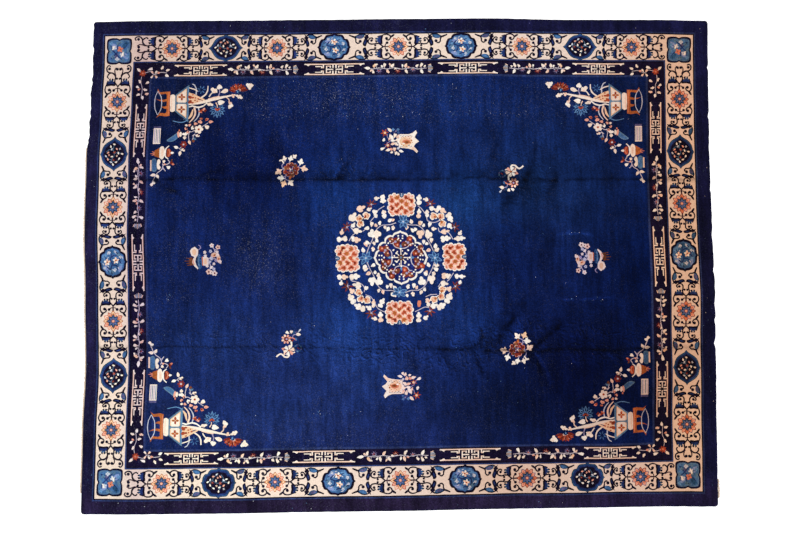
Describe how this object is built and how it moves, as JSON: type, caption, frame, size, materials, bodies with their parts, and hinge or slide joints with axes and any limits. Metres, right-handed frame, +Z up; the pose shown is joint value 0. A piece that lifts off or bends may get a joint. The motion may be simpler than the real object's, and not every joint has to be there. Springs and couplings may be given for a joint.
{
  "type": "peking rug",
  "caption": "Large flat hand-knotted wool rug in blue with an ivory border, a round floral medallion and vase motifs, with short worn cotton fringe at its ends.",
  "frame": {"origin": "on the floor, under the middle of the rug's box", "axes": "+X along the rug's length towards the end with hardly any fringe left, +Y across the rug, +Z up from the floor through the pile"},
  "size_m": [3.5396, 2.763, 0.012],
  "materials": {
    "wool_pile": "dense short wool pile, matt with a soft sheen, dark blue ground",
    "cotton_fringe": "matt undyed cotton yarn"
  },
  "bodies": {
    "root": {"rug": "wool_pile", "fringe_left": "cotton_fringe", "fringe_right": "cotton_fringe"}
  },
  "joints": []
}
